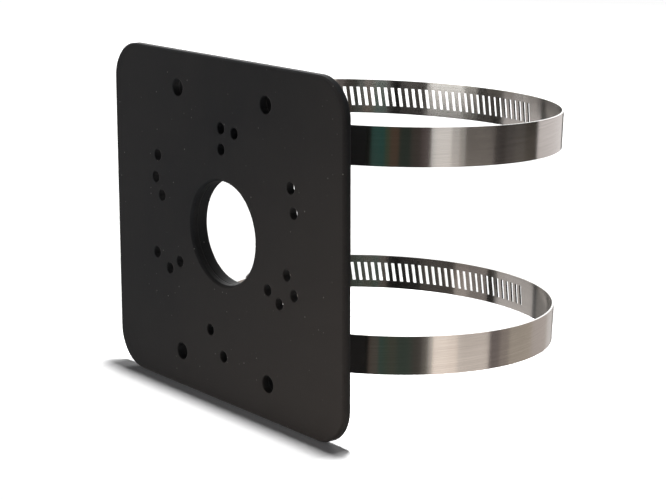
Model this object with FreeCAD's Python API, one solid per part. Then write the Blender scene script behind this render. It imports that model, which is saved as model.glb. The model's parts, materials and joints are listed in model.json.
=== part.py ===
# Camera pole mount bracket: a drilled plate, a folded bracket with four slotted ears behind it,
# and two perforated worm drive straps that run through the ears and go round a pole.
# Frame: the origin is the cable hole's centre on the plate's front face.
# The front looks along -Y, the pole stands along Z behind the plate, and +Z is up.
# All lengths are in millimetres and all angles in degrees.
import FreeCAD, Part
import os
from math import acos, asin, atan2, cos, degrees, radians, sin, sqrt, tan

V = FreeCAD.Vector
X_AXIS = V(1, 0, 0)
Y_AXIS = V(0, 1, 0)
Z_AXIS = V(0, 0, 1)

# Mounting plate
plate_width = 136.0
plate_height = 127.0
plate_thickness = 3.0
plate_corner_radius = 14.0
plate_edge_chamfer = 0.6
cable_hole_diameter = 38.1
cable_hole_chamfer = 0.8

# Holes in the plate, as the camera bases that they fit
large_hole_diameter = 6.3
large_hole_spacing_x = 52.5
large_hole_edge_distance = 13.5
small_hole_diameter = 4.2
inner_circle_radius = 30.8
middle_circle_radius = 38.4
outer_circle_radius = 46.1
turned_square_angle = 78.0
box_spacing_x = 83.0
box_spacing_z = 29.0

# Rear bracket, folded from one sheet
bracket_thickness = 4.0
bracket_width = 68.0
bracket_bend_radius = 1.5
waist_width = 46.0
waist_corner_radius = 4.0
ear_reach = 16.5
ear_corner_cut = 5.0
ear_slot_spacing = 74.8
ear_slot_depth = 9.8
ear_slot_setback = 2.0
ear_slot_play = 3.5
ear_inner_margin = 3.15
ear_outer_margin = 6.0

# Strap, one strip bent into a loop
strap_width = 14.0
strap_thickness = 0.7
strap_layer_gap = 0.1
strap_to_web = 1.05
strap_seat_clearance = 0.5
strap_sag = 2.64
strap_tail = 12.0
strap_end_inset = 6.0
upper_loop_radius = 69.3
upper_loop_offset = -2.0
lower_loop_radius = 67.3
lower_loop_offset = 0.0
loop_dip = 0.9
flank_angle = 68.0
flank_foot = 31.0
foot_bend_radius = 9.0
run_bend_radius = 30.0
shoulder_bend_radius = 20.0

# Perforations that the screw's thread drives
perforation_pitch = 2.9
perforation_width = 1.35
perforation_height = 7.7
perforation_slant = 9.5
perforation_start_angle = 79.0
perforation_end_margin = 2.5

# Screw housing and saddle, pressed from sheet
housing_length = 24.0
housing_wall = 1.0
housing_to_bend = 2.0
housing_side_clearance = 0.3
housing_foot_width = 3.0
housing_layer_gap = 0.15
saddle_thickness = 1.0
saddle_lip = 1.5
saddle_lip_length = 1.2

# Worm screw
screw_height = 4.9
screw_shank_radius = 3.2
thread_crest_radius = 4.4
thread_clearance = 0.25
screw_end_clearance = 0.3
screw_running_clearance = 0.08
screw_head_width = 7.0
screw_head_length = 5.0
screw_head_corner_cut = 0.4
screw_head_corner_angle = 30.0
screw_slot_width = 1.1
screw_slot_depth = 1.6

cut_margin = 5.0


def export(shape, node):
    """Writes one sub-part, checked to be sound."""
    shape = shape.removeSplitter()
    if not shape.isValid():
        raise ValueError(node + " is not a sound solid")
    shape.exportStep("parts/" + node + ".step")


def rectangle_points(spacing_x, spacing_z):
    """The four corners of a hole rectangle round the origin, as (x, z)."""
    return [(sx * spacing_x / 2, sz * spacing_z / 2) for sx in (-1, 1) for sz in (-1, 1)]


def circle_points(radius, first_angle, count):
    """Holes evenly spaced on a circle round the origin, as (x, z)."""
    angles = [radians(first_angle + 360.0 * i / count) for i in range(count)]
    return [(radius * cos(a), radius * sin(a)) for a in angles]


def drill(x, z, diameter, depth, chamfer=0):
    """The tool for a hole along Y from the front face, whose edge can be broken."""
    radius = diameter / 2
    bore = Part.makeCylinder(radius, depth + 2 * cut_margin, V(x, -cut_margin, z), Y_AXIS)
    if chamfer:
        cone = Part.makeCone(radius + chamfer, radius, chamfer, V(x, 0, z), Y_AXIS)
        bore = bore.fuse(cone)
    return bore


def edges_where(shape, test):
    """The edges whose bounding box passes a test."""
    return [e for e in shape.Edges if test(e.BoundBox)]


def near(a, b):
    """True for two lengths that are the same but for rounding."""
    return abs(a - b) < 1e-3


def outline_face(start, steps):
    """A face inside a closed outline. A step is the next corner, or an arc's middle and its end."""
    edges = []
    here = start
    for step in steps + [start]:
        if isinstance(step, tuple):
            edges.append(Part.Arc(here, *step).toShape())
            here = step[1]
        elif (step - here).Length > 1e-6:
            edges.append(Part.LineSegment(here, step).toShape())
            here = step
    return Part.Face(Part.Wire(edges))


# Hole patterns: the large rectangle, and the small holes of the camera bases
large_hole_spacing_z = plate_height - 2 * large_hole_edge_distance
large_holes = rectangle_points(large_hole_spacing_x, large_hole_spacing_z)
small_holes = (circle_points(inner_circle_radius, 90.0, 3)
               + circle_points(middle_circle_radius, 90.0, 3)
               + circle_points(middle_circle_radius, turned_square_angle, 4)
               + circle_points(outer_circle_radius, 30.0, 3)
               + rectangle_points(box_spacing_x, box_spacing_z))


def make_mounting_plate():
    """Flat plate with rounded corners, a broken front edge, the cable hole and the hole patterns."""
    plate = Part.makeBox(plate_width, plate_thickness, plate_height,
                         V(-plate_width / 2, 0, -plate_height / 2))
    corners = edges_where(plate, lambda b: near(b.YLength, plate_thickness))
    plate = plate.makeFillet(plate_corner_radius, corners)
    outline = edges_where(plate, lambda b: near(b.YMax, 0))
    plate = plate.makeChamfer(plate_edge_chamfer, outline)
    tools = [drill(0, 0, cable_hole_diameter, plate_thickness, cable_hole_chamfer)]
    tools += [drill(x, z, large_hole_diameter, plate_thickness) for x, z in large_holes]
    tools += [drill(x, z, small_hole_diameter, plate_thickness) for x, z in small_holes]
    return plate.cut(tools)


# Places on the bracket, worked out from the sheet and the plate
web_back = plate_thickness + bracket_thickness
ear_tip = web_back + ear_reach
ear_outer = bracket_width / 2
ear_inner = ear_outer - bracket_thickness
slot_height = strap_width + ear_slot_play
waist_height = ear_slot_spacing - slot_height - 2 * ear_inner_margin
waist_top = waist_height / 2
# the sheet reaches past the ears' slots and past the large holes, whichever lie further out
bracket_height = max(ear_slot_spacing + slot_height, large_hole_spacing_z) + 2 * ear_outer_margin
slot_front = web_back + ear_slot_setback
slot_middle = slot_front + ear_slot_depth / 2


def channel_section():
    """The bracket's U section in the XY plane, with rounded bends."""
    bend_x = ear_inner - bracket_bend_radius
    bend_y = web_back + bracket_bend_radius
    outer = bracket_bend_radius + bracket_thickness

    def quarter(side, radius, upwards):
        # a quarter turn round the bend's centre, between the ear's side and the web's side
        centre = V(side * bend_x, bend_y, 0)
        middle = centre + V(side * radius, -radius, 0) * sqrt(0.5)
        ends = [centre + V(0, -radius, 0), centre + V(side * radius, 0, 0)]
        return (middle, ends[1 if upwards else 0])

    return outline_face(V(-ear_outer, ear_tip, 0), [
        V(-ear_outer, bend_y, 0), quarter(-1, outer, False),
        V(bend_x, plate_thickness, 0), quarter(1, outer, True),
        V(ear_outer, ear_tip, 0), V(ear_inner, ear_tip, 0),
        V(ear_inner, bend_y, 0), quarter(1, bracket_bend_radius, False),
        V(-bend_x, web_back, 0), quarter(-1, bracket_bend_radius, True),
        V(-ear_inner, ear_tip, 0)])


def ear_pair(level):
    """The room that one pair of ears takes, a block with its two tip corners cut off."""
    half = bracket_height / 2
    low = waist_top if level > 0 else -half
    block = Part.makeBox(bracket_width, ear_tip - plate_thickness, half - waist_top,
                         V(-ear_outer, plate_thickness, low))
    tips = edges_where(block, lambda b: near(b.XLength, bracket_width) and near(b.YMin, ear_tip))
    return block.makeChamfer(ear_corner_cut, tips)


def waist_notch(side):
    """The cut beside the waist, which parts the upper ears from the lower ones."""
    reach = ear_outer - waist_width / 2 + cut_margin
    start = waist_width / 2 if side > 0 else -waist_width / 2 - reach
    notch = Part.makeBox(reach, ear_tip + cut_margin, waist_height, V(start, 0, -waist_top))
    corners = edges_where(notch, lambda b: near(b.YLength, ear_tip + cut_margin)
                          and near(abs(b.Center.x), waist_width / 2))
    return notch.makeFillet(waist_corner_radius, corners)


def half_web(z):
    """Half the web's width at a height: narrow at the waist, and up to the ears elsewhere."""
    return waist_width / 2 if abs(z) < waist_top else ear_inner


def ear_slot(side, level):
    """The window in one ear that the strap runs through."""
    start = side * (ear_inner + ear_outer) / 2 - bracket_thickness
    low = level * ear_slot_spacing / 2 - slot_height / 2
    return Part.makeBox(2 * bracket_thickness, ear_slot_depth, slot_height, V(start, slot_front, low))


def make_rear_bracket():
    """One folded sheet: a web with the cable hole, narrow at its waist, and four slotted ears."""
    channel = channel_section().extrude(V(0, 0, bracket_height))
    channel.translate(V(0, 0, -bracket_height / 2))
    web = Part.makeBox(bracket_width, bracket_thickness, bracket_height,
                       V(-ear_outer, plate_thickness, -bracket_height / 2))
    bracket = channel.common(web.fuse([ear_pair(1), ear_pair(-1)]))
    tools = [waist_notch(side) for side in (-1, 1)]
    tools += [ear_slot(side, level) for side in (-1, 1) for level in (-1, 1)]
    tools.append(drill(0, 0, cable_hole_diameter, web_back))
    tools += [drill(x, z, large_hole_diameter, web_back) for x, z in large_holes]
    # the small holes in front of the web go through it too
    backed = [(x, z) for x, z in small_holes if abs(x) < half_web(z)]
    tools += [drill(x, z, small_hole_diameter, web_back) for x, z in backed]
    return bracket.cut(tools)


def unit(angle):
    """The unit vector in the strap's plane at an angle from +X."""
    return V(cos(radians(angle)), sin(radians(angle)), 0)


class Loop:
    """The plan of one strap, flat in XY: where it bends, and where its housing sits."""

    def __init__(self, radius, offset, side):
        self.radius = radius
        self.run_y = web_back + strap_to_web + strap_thickness / 2
        # the circle would pass a little in front of the straight run through the ears
        self.centre = V(offset, self.run_y - loop_dip + radius, 0)
        slot_bottom = side * ear_slot_spacing / 2 - slot_height / 2
        self.level = slot_bottom + strap_seat_clearance + strap_width / 2
        self.shift = strap_thickness + strap_layer_gap
        # the flank runs up and outwards from its foot near the ear
        self.up = V(-cos(radians(flank_angle)), sin(radians(flank_angle)), 0)
        self.out = V(-sin(radians(flank_angle)), -cos(radians(flank_angle)), 0)
        self.foot = V(-flank_foot, self.run_y, 0)
        outer_foot = self.foot + self.out * self.shift
        # the shoulder bend touches the outer flank and the big arc from inside
        start = outer_foot - self.out * shoulder_bend_radius - self.centre
        along = start.dot(self.up)
        rest = start.dot(start) - (radius - shoulder_bend_radius) ** 2
        self.flank_length = -along + sqrt(along * along - rest)
        self.shoulder = self.centre + start + self.up * self.flank_length
        self.outer_foot = outer_foot
        self.housing = outer_foot + self.up * (self.flank_length - housing_to_bend - housing_length / 2)
        # the bend out of the straight run touches the run and the big arc from inside
        drop = self.centre.y - (self.run_y + run_bend_radius)
        aside = sqrt((radius - run_bend_radius) ** 2 - drop ** 2)
        self.run_bend = V(self.centre.x + aside, self.run_y + run_bend_radius, 0)

    def pieces(self):
        """The strap's centre line from its fixed end to its tail, as lines and left-hand arcs."""
        fixed = self.foot + self.up * (self.flank_length - housing_to_bend - strap_end_inset)
        leg = foot_bend_radius * tan(radians(flank_angle / 2))
        foot_centre = V(self.foot.x + leg, self.run_y + foot_bend_radius, 0)
        big_start = degrees(asin((self.run_bend.y - self.centre.y) / (self.radius - run_bend_radius)))
        big_end = degrees(acos((self.shoulder.x - self.centre.x) / (self.radius - shoulder_bend_radius)))
        flank_side = 270.0 - flank_angle
        tail = self.housing - self.up * (housing_length / 2 + strap_tail)
        bend_end = self.outer_foot + self.up * self.flank_length
        run_start = V(foot_centre.x, self.run_y, 0)
        run_end = V(self.run_bend.x, self.run_y, 0)
        return [("line", fixed, self.foot + self.up * leg),
                ("arc", foot_centre, foot_bend_radius, flank_side, 270.0),
                ("line", run_start, run_end),
                ("arc", self.run_bend, run_bend_radius, -90.0, big_start),
                ("arc", self.centre, self.radius, big_start, big_end),
                ("arc", self.shoulder, shoulder_bend_radius, big_end, flank_side),
                ("line", bend_end, tail)]

    def place(self, shape):
        """Lifts a flat shape to the strap's level and lets it sag about the ear slots."""
        shape = shape.copy()
        shape.translate(V(0, 0, self.level))
        shape.rotate(V(0, slot_middle, self.level), X_AXIS, -strap_sag)
        return shape

    def on_housing(self, shape):
        """Moves a shape from the housing's own axes (along, outwards, up) to its place on the loop."""
        turned = shape.copy()
        turned.rotate(V(0, 0, 0), Z_AXIS, 180.0 - flank_angle)
        turned.translate(self.housing)
        return self.place(turned)


def side_edge(piece, offset):
    """One edge of the strip, beside its centre line. A positive offset is inside the loop."""
    if piece[0] == "line":
        start, end = piece[1], piece[2]
        ahead = (end - start).normalize()
        inwards = V(-ahead.y, ahead.x, 0) * offset
        return Part.LineSegment(start + inwards, end + inwards).toShape()
    centre, radius, a0, a1 = piece[1:]
    r = radius - offset
    ends = [centre + unit(a) * r for a in (a0, (a0 + a1) / 2, a1)]
    return Part.Arc(*ends).toShape()


def piece_length(piece):
    """The length of one line or arc of the centre line."""
    if piece[0] == "line":
        return (piece[2] - piece[1]).Length
    return radians(piece[4] - piece[3]) * piece[2]


def place_on(piece, distance):
    """The point and the outward direction at a distance along one line or arc."""
    if piece[0] == "line":
        ahead = (piece[2] - piece[1]).normalize()
        return piece[1] + ahead * distance, V(ahead.y, -ahead.x, 0)
    angle = piece[3] + degrees(distance / piece[2])
    return piece[1] + unit(angle) * piece[2], unit(angle)


def perforations(loop, pieces):
    """One slot each pitch, leaning with the thread, from the start angle to near the tail's end."""
    half = perforation_width / 2
    high = perforation_height / 2
    lean = high * tan(radians(perforation_slant))
    front = -2 * strap_thickness
    corners = [V(lean - half, front, -high), V(lean + half, front, -high),
               V(half - lean, front, high), V(-half - lean, front, high)]
    slot = outline_face(corners[0], corners[1:]).extrude(V(0, -2 * front, 0))
    big_arc, shoulder_bend, outer_flank = pieces[4:]
    distance = radians(perforation_start_angle - big_arc[3]) * loop.radius
    tools = []
    for piece, margin in ((big_arc, 0), (shoulder_bend, 0), (outer_flank, perforation_end_margin)):
        while distance < piece_length(piece) - margin:
            point, outward = place_on(piece, distance)
            tool = slot.copy()
            # the slot's own +Y turns to face outwards
            tool.rotate(V(0, 0, 0), Z_AXIS, degrees(atan2(-outward.x, outward.y)))
            tool.translate(point)
            tools.append(tool)
            distance += perforation_pitch
        distance -= piece_length(piece)
    return tools


def make_strap(loop):
    """One stainless strip: the plain inner end, the loop, and the slotted end over it."""
    pieces = loop.pieces()
    half = strap_thickness / 2
    inner = [side_edge(p, half) for p in pieces]
    outer = [side_edge(p, -half) for p in pieces]

    def cap(point_a, point_b):
        return Part.LineSegment(point_a, point_b).toShape()

    start = cap(inner[0].Vertexes[0].Point, outer[0].Vertexes[0].Point)
    end = cap(inner[-1].Vertexes[-1].Point, outer[-1].Vertexes[-1].Point)
    outline = Part.Wire(Part.sortEdges(inner + [end] + outer + [start])[0])
    strip = Part.Face(outline).extrude(V(0, 0, strap_width))
    strip.translate(V(0, 0, -strap_width / 2))
    return loop.place(strip.cut(perforations(loop, pieces)))


# The housing's own axes: x along the screw towards its head, y outwards, z up.
# The outer strap layer's middle is at y = 0.
strap_top = strap_thickness / 2
under_straps = -strap_top - strap_thickness - strap_layer_gap - housing_layer_gap
saddle_back = under_straps - saddle_thickness
arch_inner = thread_crest_radius + thread_clearance
arch_outer = arch_inner + housing_wall
leg_inner = strap_width / 2 + housing_side_clearance
leg_outer = leg_inner + housing_wall
shoulder_under = strap_top + housing_layer_gap
housing_start = -housing_length / 2
housing_end = housing_length / 2


def across(y, z):
    """A point of a section across the housing, at its start."""
    return V(housing_start, y, z)


def make_screw_housing(loop):
    """Sheet pressed to an arch over the screw, with shoulders, legs and feet round the straps."""
    shoulder_top = shoulder_under + housing_wall
    foot_top = saddle_back - housing_layer_gap
    foot_back = foot_top - housing_wall
    foot_inner = leg_outer - housing_foot_width
    section = outline_face(across(foot_back, -foot_inner), [
        across(foot_back, -leg_outer), across(shoulder_top, -leg_outer),
        across(shoulder_top, -arch_outer), across(screw_height, -arch_outer),
        (across(screw_height + arch_outer, 0), across(screw_height, arch_outer)),
        across(shoulder_top, arch_outer), across(shoulder_top, leg_outer),
        across(foot_back, leg_outer), across(foot_back, foot_inner),
        across(foot_top, foot_inner), across(foot_top, leg_inner),
        across(shoulder_under, leg_inner), across(shoulder_under, arch_inner),
        across(screw_height, arch_inner),
        (across(screw_height + arch_inner, 0), across(screw_height, -arch_inner)),
        across(shoulder_under, -arch_inner), across(shoulder_under, -leg_inner),
        across(foot_top, -leg_inner), across(foot_top, -foot_inner)])
    housing = section.extrude(V(housing_length, 0, 0))
    # the arch is closed by a wall at each end, and the screw's shank turns in the front one
    doorway = outline_face(across(shoulder_under, -arch_inner), [
        across(screw_height, -arch_inner),
        (across(screw_height + arch_inner, 0), across(screw_height, arch_inner)),
        across(shoulder_under, arch_inner)])
    rear_wall = doorway.extrude(V(housing_wall, 0, 0))
    front_wall = rear_wall.translated(V(housing_length - housing_wall, 0, 0))
    bearing = Part.makeCylinder(screw_shank_radius + screw_running_clearance, 2 * housing_wall,
                                V(housing_end - 1.5 * housing_wall, screw_height, 0), X_AXIS)
    return loop.on_housing(housing.fuse([rear_wall, front_wall.cut(bearing)]))


def make_saddle(loop):
    """Flat plate under both strap layers, with wider ends that hold it lengthwise in the housing."""
    half = leg_inner - housing_side_clearance / 2
    wide = half + saddle_lip
    inner = housing_end + housing_layer_gap
    end = inner + saddle_lip_length
    corners = [V(end, saddle_back, wide), V(end, saddle_back, -wide), V(inner, saddle_back, -wide),
               V(inner, saddle_back, -half), V(-inner, saddle_back, -half), V(-inner, saddle_back, -wide),
               V(-end, saddle_back, -wide), V(-end, saddle_back, wide), V(-inner, saddle_back, wide),
               V(-inner, saddle_back, half), V(inner, saddle_back, half), V(inner, saddle_back, wide)]
    return loop.on_housing(outline_face(corners[0], corners[1:]).extrude(V(0, saddle_thickness, 0)))


def make_worm_screw(loop):
    """The screw's shank and slotted hex head, in one piece."""
    shank_start = housing_start + housing_wall + screw_end_clearance
    head_start = housing_end + screw_end_clearance
    head_end = head_start + screw_head_length
    shank = Part.makeCylinder(screw_shank_radius, head_start - shank_start,
                              V(shank_start, screw_height, 0), X_AXIS)
    corner = screw_head_width / 2 / cos(radians(30))
    hexagon = [V(head_start, screw_height + corner * cos(radians(60 * i)), corner * sin(radians(60 * i)))
               for i in range(6)]
    head = outline_face(hexagon[0], hexagon[1:]).extrude(V(screw_head_length, 0, 0))
    # the end's corners are turned off at a shallow angle
    flare = screw_head_length / tan(radians(screw_head_corner_angle))
    end_radius = corner - screw_head_corner_cut
    head = head.common(Part.makeCone(end_radius + flare, end_radius, screw_head_length,
                                     V(head_start, screw_height, 0), X_AXIS))
    slot = Part.makeBox(screw_slot_depth + cut_margin, screw_slot_width, 4 * corner,
                        V(head_end - screw_slot_depth, screw_height - screw_slot_width / 2, -2 * corner))
    return loop.on_housing(shank.fuse(head.cut(slot)))


os.makedirs("parts", exist_ok=True)
export(make_mounting_plate(), "mounting_plate")
export(make_rear_bracket(), "rear_bracket")
loops = {"upper": Loop(upper_loop_radius, upper_loop_offset, 1),
         "lower": Loop(lower_loop_radius, lower_loop_offset, -1)}
for name, loop in loops.items():
    export(make_strap(loop), name + "_strap")
    export(make_screw_housing(loop), name + "_screw_housing")
    export(make_saddle(loop), name + "_saddle")
    export(make_worm_screw(loop), name + "_worm_screw")
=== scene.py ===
import json
from math import cos, pi, radians, sin

import bpy
from mathutils import Matrix, Vector


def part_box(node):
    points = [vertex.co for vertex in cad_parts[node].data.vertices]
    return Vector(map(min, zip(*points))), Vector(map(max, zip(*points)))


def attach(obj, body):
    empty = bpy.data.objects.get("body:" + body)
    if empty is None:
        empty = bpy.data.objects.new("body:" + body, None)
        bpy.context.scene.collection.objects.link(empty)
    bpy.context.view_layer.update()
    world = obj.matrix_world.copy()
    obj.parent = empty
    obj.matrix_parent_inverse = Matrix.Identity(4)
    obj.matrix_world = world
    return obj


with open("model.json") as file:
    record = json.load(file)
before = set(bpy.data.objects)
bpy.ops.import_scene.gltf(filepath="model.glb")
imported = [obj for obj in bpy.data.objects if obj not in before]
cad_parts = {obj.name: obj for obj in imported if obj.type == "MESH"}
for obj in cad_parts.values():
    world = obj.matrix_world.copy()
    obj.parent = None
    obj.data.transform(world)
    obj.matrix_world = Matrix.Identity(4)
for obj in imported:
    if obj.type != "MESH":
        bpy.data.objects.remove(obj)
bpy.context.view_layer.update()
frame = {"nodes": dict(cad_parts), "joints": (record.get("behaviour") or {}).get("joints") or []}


# Mounting plate
# A 3 mm steel plate, laser cut with its hole patterns and cable hole, then powder coated.
# The coat is a satin black polyester with a fine texture, painted glints on its high spots and a
# little dust.
def linear(hex_colour):
    """The linear value of an sRGB hex colour."""
    parts = [int(hex_colour[i:i + 2], 16) / 255 for i in (1, 3, 5)]
    return [c / 12.92 if c <= 0.04045 else ((c + 0.055) / 1.055) ** 2.4 for c in parts] + [1.0]


def add_node(tree, kind, settings=(), values=(), links=()):
    """Adds a node, sets its properties and inputs, and links outputs into inputs.

    An input is given by its name, or by its number where names repeat.
    """
    new = tree.nodes.new(kind)
    for name, value in dict(settings).items():
        setattr(new, name, value)
    for name, value in dict(values).items():
        new.inputs[name].default_value = value
    for name, output in dict(links).items():
        tree.links.new(output, new.inputs[name])
    return new


def new_material(name):
    """An empty node material and its tree."""
    material = bpy.data.materials.new(name)
    material.use_nodes = True
    material.node_tree.nodes.clear()
    return material, material.node_tree


def finish_material(tree, shader, normal=None):
    """Ends a material with its output, and gives its shader the last bump."""
    if normal:
        tree.links.new(normal.outputs["Normal"], shader.inputs["Normal"])
    add_node(tree, "ShaderNodeOutputMaterial", links={"Surface": shader.outputs["BSDF"]})


def powder_coat():
    """Satin black powder coat: small orange peel, finer grit with painted glints, a painted warm
    light and a little dust.
    """
    material, tree = new_material("black_powder_coat_finish")
    place = add_node(tree, "ShaderNodeTexCoord").outputs["Object"]
    peel_size, peel_depth = 0.0022, 0.00006
    grit_size, grit_depth = 0.0006, 0.00003
    dust_size = 0.028
    grain_spacing = 0.0025
    edge_radius = 0.0007
    peel = add_node(tree, "ShaderNodeTexNoise",
                    values={"Scale": 1 / peel_size, "Detail": 2.0, "Roughness": 0.5},
                    links={"Vector": place})
    grit = add_node(tree, "ShaderNodeTexNoise",
                    values={"Scale": 1 / grit_size, "Detail": 3.0, "Roughness": 0.6},
                    links={"Vector": place})
    dust = add_node(tree, "ShaderNodeTexNoise",
                    values={"Scale": 1 / dust_size, "Detail": 4.0, "Roughness": 0.55},
                    links={"Vector": place})
    tone = add_node(tree, "ShaderNodeValToRGB", links={"Fac": dust.outputs["Fac"]})
    tone.color_ramp.elements[0].position = 0.3
    tone.color_ramp.elements[0].color = linear("#1D1E20")
    tone.color_ramp.elements[1].position = 0.75
    tone.color_ramp.elements[1].color = linear("#252525")
    # the grit's high spots are drawn lighter: painted glints
    painted_glint_specks = add_node(tree, "ShaderNodeValToRGB", links={"Fac": grit.outputs["Fac"]})
    painted_glint_specks.color_ramp.elements[0].position = 0.62
    painted_glint_specks.color_ramp.elements[0].color = linear("#000000")
    painted_glint_specks.color_ramp.elements[1].position = 0.8
    painted_glint_specks.color_ramp.elements[1].color = linear("#4A4846")
    # painted warm light: the front face is drawn lighter and warmer towards its lower right,
    # and the steep part along Y keeps that off the edges and the back
    painted_light_direction = (0.8, -25, -0.6)
    across = add_node(tree, "ShaderNodeVectorMath", {"operation": "DOT_PRODUCT"},
                      {1: painted_light_direction}, {0: place})
    painted_light_mask = add_node(tree, "ShaderNodeMapRange", values={"From Min": -0.02, "From Max": 0.095},
                    links={"Value": across.outputs["Value"]})
    painted_warm_light = add_node(tree, "ShaderNodeMix", {"data_type": "RGBA"}, {"B": linear("#3A3531")},
                      {"Factor": painted_light_mask.outputs["Result"], "A": tone.outputs["Color"]})
    # the painted glints are added on top of the coat's colour
    glints = add_node(tree, "ShaderNodeMix", {"data_type": "RGBA", "blend_type": "ADD"},
                      {"Factor": 0.35},
                      {"A": painted_warm_light.outputs["Result"], "B": painted_glint_specks.outputs["Color"]})
    # sparse pale grains of dust: each cell has a spot at its middle, and few cells show it
    cells = add_node(tree, "ShaderNodeTexVoronoi", values={"Scale": 1 / grain_spacing},
                     links={"Vector": place})
    chosen = add_node(tree, "ShaderNodeSeparateColor", links={"Color": cells.outputs["Color"]})
    spot = add_node(tree, "ShaderNodeMapRange", values={"From Min": 0.13, "From Max": 0.07},
                    links={"Value": cells.outputs["Distance"]})
    share = add_node(tree, "ShaderNodeMapRange", values={"From Min": 0.7, "To Max": 0.35},
                     links={"Value": chosen.outputs["Red"]})
    grain = add_node(tree, "ShaderNodeMath", {"operation": "MULTIPLY"},
                     links={0: spot.outputs["Result"], 1: share.outputs["Result"]})
    colour = add_node(tree, "ShaderNodeMix", {"data_type": "RGBA"}, {"B": linear("#9A9792")},
                      {"Factor": grain.outputs["Value"], "A": glints.outputs["Result"]})
    gloss = add_node(tree, "ShaderNodeMapRange", values={"To Min": 0.42, "To Max": 0.56},
                     links={"Value": dust.outputs["Fac"]})
    shader = add_node(tree, "ShaderNodeBsdfPrincipled",
                      values={"IOR": 1.5, "Specular IOR Level": 0.12},
                      links={"Base Color": colour.outputs["Result"],
                             "Roughness": gloss.outputs["Result"]})
    edge = add_node(tree, "ShaderNodeBevel", {"samples": 8}, {"Radius": edge_radius})
    soft = add_node(tree, "ShaderNodeBump", values={"Strength": 0.35, "Distance": peel_depth},
                    links={"Height": peel.outputs["Fac"], "Normal": edge.outputs["Normal"]})
    rough = add_node(tree, "ShaderNodeBump", values={"Strength": 0.4, "Distance": grit_depth},
                     links={"Height": grit.outputs["Fac"], "Normal": soft.outputs["Normal"]})
    finish_material(tree, shader, rough)
    return material


def dress(node_name, material):
    """Gives a carried-over piece its material in every slot."""
    for slot in frame["nodes"][node_name].material_slots:
        slot.material = material


black_coat = powder_coat()
dress("mounting_plate", black_coat)


# Rear bracket
# One 4 mm steel sheet, cut and folded to a channel whose four ears carry the straps.
# It is MIG welded to the plate's back, then coated together with it.
dress("rear_bracket", black_coat)

weld_length = 0.016
weld_leg = 0.0026
weld_ripple = 0.0016
weld_drop = 1.15 * weld_ripple
weld_place = 0.014
melt_size = 0.0003


def weld_bead(name, middle, outward):
    """A short fillet weld along X: overlapping drops, melted into one bead."""
    bpy.ops.object.select_all(action="DESELECT")
    bpy.ops.mesh.primitive_uv_sphere_add(segments=24, ring_count=14, radius=1.0)
    bead = bpy.context.active_object
    bead.name = name
    bead.scale = (weld_drop, weld_leg, weld_leg)
    bpy.ops.object.transform_apply(scale=True)
    drops = bead.modifiers.new("drops", "ARRAY")
    drops.count = round(weld_length / weld_ripple)
    drops.use_relative_offset = False
    drops.use_constant_offset = True
    drops.constant_offset_displace = (weld_ripple, 0, 0)
    melt = bead.modifiers.new("melt", "REMESH")
    melt.mode = "VOXEL"
    melt.voxel_size = melt_size
    ease = bead.modifiers.new("ease", "SMOOTH")
    ease.iterations = 3
    for modifier in ("drops", "melt", "ease"):
        bpy.ops.object.modifier_apply(modifier=modifier)
    # the half of the bead inside the corner is cut away along the plate and the sheet's end
    bpy.ops.object.mode_set(mode="EDIT")
    bpy.ops.mesh.select_all(action="SELECT")
    bpy.ops.mesh.bisect(plane_co=(0, 0, 0), plane_no=(0, 1, 0), clear_inner=True, use_fill=True)
    bpy.ops.mesh.select_all(action="SELECT")
    bpy.ops.mesh.bisect(plane_co=(0, 0, 0), plane_no=(0, 0, outward),
                        clear_inner=True, use_fill=True)
    bpy.ops.mesh.select_all(action="SELECT")
    bpy.ops.mesh.normals_make_consistent(inside=False)
    bpy.ops.object.mode_set(mode="OBJECT")
    bead.location = middle - Vector((weld_length / 2, 0, 0))
    bpy.ops.object.transform_apply(location=True)
    bpy.ops.object.shade_smooth_by_angle(angle=radians(50))
    bead.data.materials.append(black_coat)
    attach(bead, "mount")


bracket_low, bracket_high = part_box("rear_bracket")
for side, level in (("top", bracket_high.z), ("bottom", bracket_low.z)):
    for end, x in (("left", -weld_place), ("right", weld_place)):
        weld_bead(f"weld_{side}_{end}", Vector((x, bracket_low.y, level)), 1 if level > 0 else -1)


# Straps
# Cold rolled stainless strip, 14 by 0.7 mm, punched and bent to a loop.
# The rolling and brushing leave fine lines along it, so its shine spreads across the strip only.
strap_sag = radians(2.64)


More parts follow.
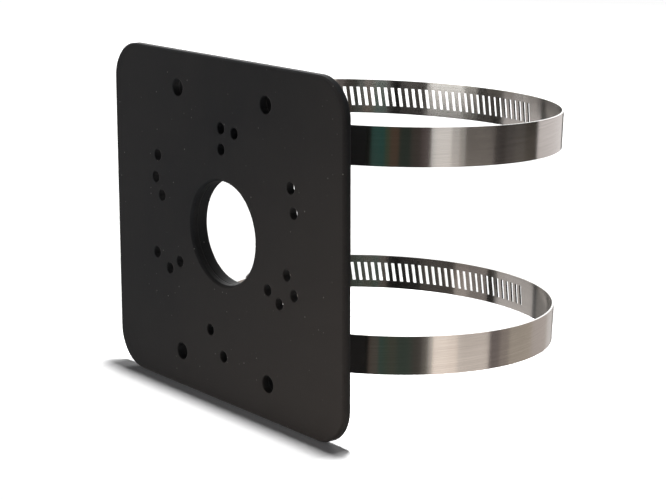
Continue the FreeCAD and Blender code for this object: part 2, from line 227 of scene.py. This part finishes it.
def brushed_strip(name, line_width, roughness, tilt, tones):
    """Stainless steel with brush lines that run level, or along a strip that sags."""
    material, tree = new_material(name)
    place = add_node(tree, "ShaderNodeTexCoord").outputs["Object"]
    streak_length = 0.03
    stain_size = 1 / 45
    line_depth = 0.00002
    along = add_node(tree, "ShaderNodeMapping",
                     values={"Rotation": (tilt, 0, 0),
                             "Scale": (1 / streak_length, 1 / streak_length, 1 / line_width)},
                     links={"Vector": place})
    lines = add_node(tree, "ShaderNodeTexNoise",
                     values={"Scale": 1.0, "Detail": 3.0, "Roughness": 0.65},
                     links={"Vector": along.outputs["Vector"]})
    stain = add_node(tree, "ShaderNodeTexNoise", values={"Scale": 1 / stain_size, "Detail": 3.0},
                     links={"Vector": place})
    dark, light = tones
    tone = add_node(tree, "ShaderNodeValToRGB", links={"Fac": lines.outputs["Fac"]})
    tone.color_ramp.elements[0].position = 0.3
    tone.color_ramp.elements[0].color = linear(dark)
    tone.color_ramp.elements[1].position = 0.7
    tone.color_ramp.elements[1].color = linear(light)
    gloss = add_node(tree, "ShaderNodeMapRange",
                     values={"To Min": roughness - 0.03, "To Max": roughness + 0.05},
                     links={"Value": stain.outputs["Fac"]})
    turn = add_node(tree, "ShaderNodeTangent", {"direction_type": "RADIAL", "axis": "Z"})
    shader = add_node(tree, "ShaderNodeBsdfPrincipled",
                      values={"Metallic": 1.0, "Anisotropic": 0.95, "Anisotropic Rotation": 0.25},
                      links={"Base Color": tone.outputs["Color"],
                             "Roughness": gloss.outputs["Result"],
                             "Tangent": turn.outputs["Tangent"]})
    bump = add_node(tree, "ShaderNodeBump", values={"Strength": 0.06, "Distance": line_depth},
                    links={"Height": lines.outputs["Fac"]})
    finish_material(tree, shader, bump)
    return material


brush_line_width = 0.0003
strap_steel = brushed_strip("strap_steel_finish", brush_line_width, 0.16, strap_sag,
                            ("#C0BEBB", "#CECCC9"))
dress("upper_strap", strap_steel)
dress("lower_strap", strap_steel)


# Screw housings and saddles
# Pressed from 1 mm stainless sheet, and clinched round the strap with lips under its edges.
# The press leaves the sheet duller than the rolled strip.
def pressed_steel():
    """Satin stainless sheet with faint press marks."""
    material, tree = new_material("pressed_steel_finish")
    place = add_node(tree, "ShaderNodeTexCoord").outputs["Object"]
    mark_size, mark_depth = 0.004, 0.00002
    edge_radius = 0.00025
    marks = add_node(tree, "ShaderNodeTexNoise", values={"Scale": 1 / mark_size, "Detail": 4.0},
                     links={"Vector": place})
    tone = add_node(tree, "ShaderNodeValToRGB", links={"Fac": marks.outputs["Fac"]})
    tone.color_ramp.elements[0].position = 0.35
    tone.color_ramp.elements[0].color = linear("#A9A6A1")
    tone.color_ramp.elements[1].position = 0.7
    tone.color_ramp.elements[1].color = linear("#C2BEB8")
    gloss = add_node(tree, "ShaderNodeMapRange", values={"To Min": 0.3, "To Max": 0.45},
                     links={"Value": marks.outputs["Fac"]})
    shader = add_node(tree, "ShaderNodeBsdfPrincipled", values={"Metallic": 1.0},
                      links={"Base Color": tone.outputs["Color"],
                             "Roughness": gloss.outputs["Result"]})
    edge = add_node(tree, "ShaderNodeBevel", {"samples": 4}, {"Radius": edge_radius})
    bump = add_node(tree, "ShaderNodeBump", values={"Strength": 0.1, "Distance": mark_depth},
                    links={"Height": marks.outputs["Fac"], "Normal": edge.outputs["Normal"]})
    finish_material(tree, shader, bump)
    return material


housing_steel = pressed_steel()
for strap in ("upper", "lower"):
    dress(f"{strap}_screw_housing", housing_steel)
    dress(f"{strap}_saddle", housing_steel)


# Worm screws
# Zinc plated hex head screws with a slot. The coarse worm thread is rolled onto the shank,
# one turn for each perforation of the strap.
def plated_steel():
    """Bright zinc plating with a faint blue passivation and a dull bloom."""
    material, tree = new_material("plated_screw_finish")
    place = add_node(tree, "ShaderNodeTexCoord").outputs["Object"]
    bloom_size = 0.003
    edge_radius = 0.00025
    bloom = add_node(tree, "ShaderNodeTexNoise", values={"Scale": 1 / bloom_size, "Detail": 3.0},
                     links={"Vector": place})
    tone = add_node(tree, "ShaderNodeValToRGB", links={"Fac": bloom.outputs["Fac"]})
    tone.color_ramp.elements[0].color = linear("#9EA1A6")
    tone.color_ramp.elements[1].color = linear("#C6C8CC")
    gloss = add_node(tree, "ShaderNodeMapRange", values={"To Min": 0.22, "To Max": 0.4},
                     links={"Value": bloom.outputs["Fac"]})
    shader = add_node(tree, "ShaderNodeBsdfPrincipled", values={"Metallic": 1.0},
                      links={"Base Color": tone.outputs["Color"],
                             "Roughness": gloss.outputs["Result"]})
    edge = add_node(tree, "ShaderNodeBevel", {"samples": 4}, {"Radius": edge_radius})
    finish_material(tree, shader, edge)
    return material


screw_finish = plated_steel()
thread_pitch = 0.0029
thread_root = 0.0031
thread_crest = 0.00445
thread_foot_width = 0.0019
thread_crest_width = 0.0007
thread_turns = 6
steps_per_turn = 36


def worm_thread(name, joint):
    """One helical ridge, turned from a tapered tooth section round the screw's own axis."""
    bpy.ops.object.select_all(action="DESELECT")
    bpy.ops.mesh.primitive_plane_add(size=1.0, rotation=(pi / 2, 0, 0))
    thread = bpy.context.active_object
    thread.name = name
    thread.scale = (thread_crest - thread_root, thread_foot_width, 1.0)
    bpy.ops.object.transform_apply(rotation=True, scale=True)
    middle = (thread_crest + thread_root) / 2
    thread.location = (middle, 0, 0)
    bpy.ops.object.transform_apply(location=True)
    # the tooth narrows towards its crest
    for vertex in thread.data.vertices:
        vertex.select = vertex.co.x > middle
    for edge in thread.data.edges:
        edge.select = all(thread.data.vertices[i].select for i in edge.vertices)
    thread.data.polygons[0].select = False
    bpy.ops.object.mode_set(mode="EDIT")
    bpy.ops.transform.resize(value=(1, 1, thread_crest_width / thread_foot_width))
    bpy.ops.object.mode_set(mode="OBJECT")
    helix = thread.modifiers.new("helix", "SCREW")
    helix.axis = "Z"
    helix.angle = 2 * pi
    helix.iterations = thread_turns
    helix.screw_offset = thread_pitch
    helix.steps = steps_per_turn
    helix.render_steps = steps_per_turn
    bpy.ops.object.modifier_apply(modifier="helix")
    bpy.ops.object.mode_set(mode="EDIT")
    bpy.ops.mesh.select_all(action="SELECT")
    bpy.ops.mesh.remove_doubles(threshold=0.000001)
    bpy.ops.mesh.select_all(action="DESELECT")
    bpy.ops.mesh.select_non_manifold()
    bpy.ops.mesh.fill_holes(sides=4)
    bpy.ops.mesh.select_all(action="SELECT")
    bpy.ops.mesh.normals_make_consistent(inside=False)
    bpy.ops.object.mode_set(mode="OBJECT")
    # from its own axis along Z to the screw's place in the housing
    half_length = thread_turns * thread_pitch / 2
    axis = Vector(joint["axis"])
    thread.matrix_world = (Matrix.Translation(Vector(joint["pos_m"]))
                           @ Vector((0, 0, 1)).rotation_difference(axis).to_matrix().to_4x4()
                           @ Matrix.Translation(Vector((0, 0, -half_length))))
    bpy.ops.object.transform_apply(location=True, rotation=True)
    bpy.ops.object.shade_smooth_by_angle(angle=radians(40))
    thread.data.materials.append(screw_finish)
    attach(thread, joint["child"])


for joint in frame["joints"]:
    strap = joint["child"].split("_")[0]
    dress(f"{strap}_worm_screw", screw_finish)
    worm_thread(f"{strap}_worm_thread", joint)


# Floor
# A plain white sweep under the plate's lower edge. It keeps the soft shadow in front of the
# plate, and is lifted to plain white further away, where the lamps fall off.
plate_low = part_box("mounting_plate")[0]
side_glow = 0.9
far_glow = 0.75
floor_size = 12.0
floor_gap = 0.0002


def white_floor():
    """Matt white, lifted for the camera so that only contact shadows show."""
    material, tree = new_material("floor_white")
    shader = add_node(tree, "ShaderNodeBsdfDiffuse", values={"Color": linear("#F4F4F4")})
    place = add_node(tree, "ShaderNodeTexCoord").outputs["Object"]
    split = add_node(tree, "ShaderNodeSeparateXYZ", links={"Vector": place})
    across = add_node(tree, "ShaderNodeMath", {"operation": "ABSOLUTE"},
                      links={0: split.outputs["X"]}).outputs["Value"]
    along = add_node(tree, "ShaderNodeMath", {"operation": "ABSOLUTE"},
                     links={0: split.outputs["Y"]}).outputs["Value"]
    away = add_node(tree, "ShaderNodeVectorMath", {"operation": "LENGTH"},
                    links={0: place}).outputs["Value"]
    # the thin shadows of the straps are lifted away, the one in front of the plate stays
    past_side = add_node(tree, "ShaderNodeMapRange",
                         values={"From Min": 0.066, "From Max": 0.08}, links={"Value": across})
    behind = add_node(tree, "ShaderNodeMapRange",
                      values={"From Min": 0.004, "From Max": 0.012},
                      links={"Value": split.outputs["Y"]})
    clear = add_node(tree, "ShaderNodeMath", {"operation": "MAXIMUM"},
                     links={0: past_side.outputs["Result"], 1: behind.outputs["Result"]})
    # that patch ends a little outside the straps
    patch_width = add_node(tree, "ShaderNodeMapRange",
                           values={"From Min": 0.11, "From Max": 0.09}, links={"Value": across})
    patch_length = add_node(tree, "ShaderNodeMapRange",
                            values={"From Min": 0.18, "From Max": 0.16}, links={"Value": along})
    patch = add_node(tree, "ShaderNodeMath", {"operation": "MULTIPLY"},
                     links={0: patch_width.outputs["Result"], 1: patch_length.outputs["Result"]})
    lifted = add_node(tree, "ShaderNodeMath", {"operation": "MULTIPLY"},
                      links={0: clear.outputs["Value"], 1: patch.outputs["Value"]})
    near_lift = add_node(tree, "ShaderNodeMapRange", values={"To Max": side_glow},
                         links={"Value": lifted.outputs["Value"]})
    far_lift = add_node(tree, "ShaderNodeMapRange",
                        values={"From Min": 0.15, "From Max": 1.5, "To Max": far_glow},
                        links={"Value": away})
    lift = add_node(tree, "ShaderNodeMath", {"operation": "MAXIMUM"},
                    links={0: near_lift.outputs["Result"], 1: far_lift.outputs["Result"]})
    ray = add_node(tree, "ShaderNodeLightPath")
    seen = add_node(tree, "ShaderNodeMath", {"operation": "MULTIPLY"},
                    links={0: ray.outputs["Is Camera Ray"], 1: lift.outputs["Value"]})
    glow = add_node(tree, "ShaderNodeEmission", links={"Strength": seen.outputs["Value"]})
    both = add_node(tree, "ShaderNodeAddShader",
                    links={0: shader.outputs["BSDF"], 1: glow.outputs["Emission"]})
    add_node(tree, "ShaderNodeOutputMaterial", links={"Surface": both.outputs["Shader"]})
    return material


bpy.ops.object.select_all(action="DESELECT")
bpy.ops.mesh.primitive_plane_add(size=floor_size, location=(0, 0, plate_low.z - floor_gap))
floor = bpy.context.active_object
floor.name = "studio_floor"
floor.data.materials.append(white_floor())
floor.visible_glossy = False


# Studio cards
# Two rows of cards and soft boxes round the object, out of the picture. Only reflections see
# them: cloths round the camera, a soft box to the right, then grey walls and a white end.
card_distance = 1.0
card_overlap = 0.4
row_start = -188
row_top = 0.9
row_edge = -0.21


def light_up(piece, colour, strength):
    """Makes a stage piece glow for reflections only."""
    material, tree = new_material(piece.name + "_glow")
    glow = add_node(tree, "ShaderNodeEmission",
                    values={"Color": linear(colour), "Strength": strength})
    add_node(tree, "ShaderNodeOutputMaterial", links={"Surface": glow.outputs["Emission"]})
    piece.data.materials.append(material)
    piece.visible_camera = False
    piece.visible_diffuse = False
    piece.visible_shadow = False
    piece.visible_transmission = False


def card(name, start, end, low, high, colour, strength):
    """A glowing card between two azimuths, 0 behind the object and -90 to its right."""
    turn = radians((start + end) / 2)
    place = (-sin(turn) * card_distance, cos(turn) * card_distance, (low + high) / 2)
    bpy.ops.object.select_all(action="DESELECT")
    bpy.ops.mesh.primitive_plane_add(size=1.0, rotation=(pi / 2, 0, turn), location=place)
    piece = bpy.context.active_object
    piece.name = name
    piece.scale = (2 * card_distance * sin(radians(end - start + card_overlap) / 2),
                   high - low, 1)
    light_up(piece, colour, strength)


def row_of_cards(row, low, high, cards):
    """A row of cards that follow each other, each given by its end, colour and strength."""
    start = row_start
    for name, end, colour, strength in cards:
        card(f"{row}_{name}", start, end, low, high, colour, strength)
        start = end


row_of_cards("upper", row_edge, row_top, [
    ("front_drape", -160, "#1C1C1A", 1.0),
    ("black_drape", -133, "#161614", 1.0),
    ("teal_cloth", -124.5, "#284F4A", 1.0),
    ("olive_cloth", -122, "#434B3A", 1.0),
    ("brown_cloth", -116.5, "#584438", 1.0),
    ("dark_drape", -109, "#2E342F", 1.0),
    ("dark_drape_fold", -103, "#463E3A", 1.0),
    ("drape_edge", -97, "#594D4D", 1.0),
    ("soft_box", -84, "#E2E0DE", 1.2),
    ("soft_box_edge", -79, "#C2C1BF", 1.0),
    ("soft_box_rim", -75.5, "#9E9C99", 1.0),
    ("grey_wall", -51, "#3B3937", 1.0),
    ("wall_joint", -46.5, "#2B2B29", 1.0),
    ("grey_wall_end", -31, "#353537", 1.0),
    ("dark_corner", -20, "#0C0C0C", 1.0),
    ("white_wall", 25, "#F0E9E7", 1.0),
    ("left_wall", 32, "#70706E", 1.0),
    ("left_window", 76, "#FFFFFF", 2.0),
    ("left_wall_end", 90, "#70706E", 1.0),
    ("front_left_wall", 135, "#DAD4D2", 1.0),
    ("black_gap", 162, "#161614", 1.0),
    ("front_card", 172, "#D6D2CE", 1.0)])
row_of_cards("lower", -row_top, row_edge, [
    ("front_drape", -160, "#605A55", 1.0),
    ("black_drape", -134, "#1A1A19", 1.0),
    ("brown_cloth", -128, "#66554E", 1.0),
    ("green_cloth", -106, "#465149", 1.0),
    ("green_cloth_edge", -100, "#4E4D47", 1.0),
    ("drape_edge", -96, "#78746C", 1.0),
    ("soft_box_rim", -93.5, "#B4ABA0", 1.0),
    ("soft_box", -77, "#FFEEE1", 1.45),
    ("soft_box_edge", -54, "#FFF2E8", 1.08),
    ("wall_joint", -45.5, "#8A7F7C", 1.0),
    ("warm_wall", -38, "#A89C94", 1.0),
    ("warm_wall_end", -14, "#C8BCAF", 1.0),
    ("pale_wall", 9, "#C8BDB6", 1.0),
    ("white_wall", 25, "#DCD6D2", 1.0),
    ("left_wall", 90, "#908C88", 1.0),
    ("front_left_wall", 136, "#D2CCC8", 1.0),
    ("dark_gap", 143, "#2A2826", 1.0),
    ("grey_card", 160, "#B4ABA6", 1.0),
    ("front_card", 172, "#CFC3BB", 1.0)])

# a small card behind the plate lights the upper strap's inside
bpy.ops.object.select_all(action="DESELECT")
bpy.ops.mesh.primitive_plane_add(size=1.0, rotation=(pi / 2, 0, 0),
                                 location=(-0.024, 0.032, 0.039))
inner_card = bpy.context.active_object
inner_card.name = "inner_card"
inner_card.scale = (0.033, 0.022, 1)
light_up(inner_card, "#F4F2EE", 3.0)


# Lamps
# A weak soft box in front, a small lamp right above that sets the plate's contact shadow,
# a soft fill behind, and the white room itself.
def soft_lamp(name, azimuth, elevation, distance, size, power, colour="#FFFFFF"):
    """A square area lamp that looks at the plate's middle."""
    turn, rise = radians(azimuth), radians(elevation)
    place = Vector((-sin(turn) * cos(rise), cos(turn) * cos(rise), sin(rise))) * distance
    lamp = bpy.data.lights.new(name, "AREA")
    lamp.size = size
    lamp.energy = power
    lamp.color = linear(colour)[:3]
    holder = bpy.data.objects.new(name, lamp)
    holder.location = place
    holder.rotation_euler = (-place).to_track_quat("-Z", "Y").to_euler()
    holder.visible_glossy = False
    bpy.context.scene.collection.objects.link(holder)


soft_lamp("front_soft_box", -168, 2.5, 1.2, 0.4, 6.0, "#FAFAFF")
soft_lamp("top_light", 0, 86.7, 1.3, 0.08, 19.5)
soft_lamp("back_fill", 35, 25, 1.3, 0.6, 5.0)

world = bpy.data.worlds.new("white_room")
bpy.context.scene.world = world
world.use_nodes = True
room = world.node_tree
room.nodes.clear()
room_fill = 0.03
room_shine = 0.12
ray = add_node(room, "ShaderNodeLightPath")
seen = add_node(room, "ShaderNodeMath", {"operation": "MAXIMUM"},
                links={0: ray.outputs["Is Camera Ray"], 1: ray.outputs["Is Transmission Ray"]})
seen_level = add_node(room, "ShaderNodeMapRange", values={"To Min": room_fill},
                      links={"Value": seen.outputs["Value"]})
shine_level = add_node(room, "ShaderNodeMapRange",
                       values={"To Min": room_fill, "To Max": room_shine},
                       links={"Value": ray.outputs["Is Glossy Ray"]})
level = add_node(room, "ShaderNodeMath", {"operation": "MAXIMUM"},
                 links={0: seen_level.outputs["Result"], 1: shine_level.outputs["Result"]})
white = add_node(room, "ShaderNodeBackground", values={"Color": linear("#FFFFFF")},
                 links={"Strength": level.outputs["Value"]})
add_node(room, "ShaderNodeOutputWorld", links={"Surface": white.outputs["Background"]})


# Camera
# A long lens to the right of the plate and above it, as in the photograph.
# It looks down a little, and a small shift sets the object's height in the picture.
camera_azimuth = radians(50.37)
camera_pitch = radians(12.17)
lens = bpy.data.cameras.new("camera")
lens.lens = 96.8
lens.sensor_width = 36.0
lens.shift_y = -0.075
camera = bpy.data.objects.new("camera", lens)
camera.location = (0.5077, -0.3687, 0.1474)
camera.rotation_euler = (pi / 2 - camera_pitch, 0, camera_azimuth)
bpy.context.scene.collection.objects.link(camera)
bpy.context.scene.camera = camera
bpy.context.scene.view_settings.view_transform = "Standard"
